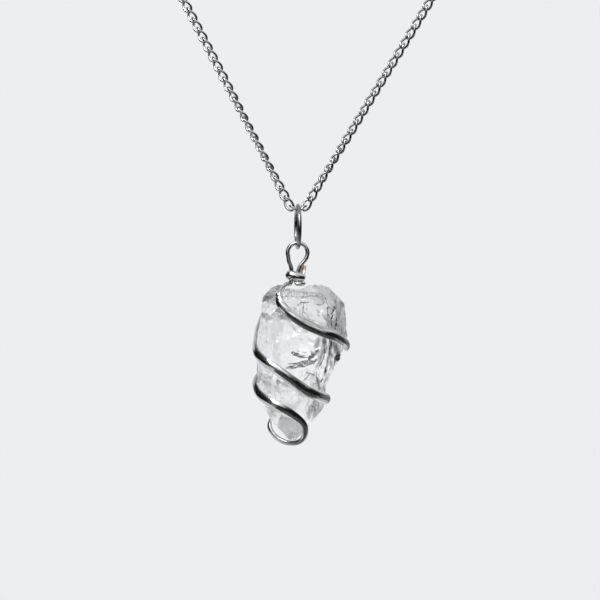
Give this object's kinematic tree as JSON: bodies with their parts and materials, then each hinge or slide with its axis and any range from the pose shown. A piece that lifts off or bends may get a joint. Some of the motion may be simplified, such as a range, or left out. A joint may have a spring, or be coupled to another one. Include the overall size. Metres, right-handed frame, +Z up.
{
  "type": "pendant necklace",
  "caption": "Rough clear quartz held in a spiral of flattened silver-coloured wire, hung by its wire eye on a ring from a closed loop of twisted curb chain.",
  "frame": {"origin": "the underside of the nape of the chain's loop, under the clasp, where the necklace hangs", "axes": "+Z up, +X to the right as seen from the front, the pendant's front faces -Y, the chain's loop lies in the XZ plane"},
  "size_m": [0.1178, 0.0155, 0.2233],
  "materials": {
    "chain": "polished silver plating",
    "bail": "polished dark silver plating",
    "wire": "hammered and polished silver plating over copper",
    "stone": "rough natural crystal, clear with inner fractures"
  },
  "bodies": {
    "chain": {"chain_front": "chain", "chain_back": "chain", "clasp": "chain"},
    "bail": {"bail": "bail"},
    "pendant": {"wire_wrap": "wire", "stone": "stone"}
  },
  "joints": [
    {"name": "bail_swing", "type": "hinge", "parent": "chain", "child": "bail", "pos_m": [-0.00392, 0, -0.17525], "axis": [1, 0, 0], "range_deg": [-60, 60]},
    {"name": "pendant_swing", "type": "hinge", "parent": "bail", "child": "pendant", "pos_m": [-0.00392, 0, -0.18162], "axis": [-0.0872, 0.9962, 0], "range_deg": [-75, 75]}
  ]
}
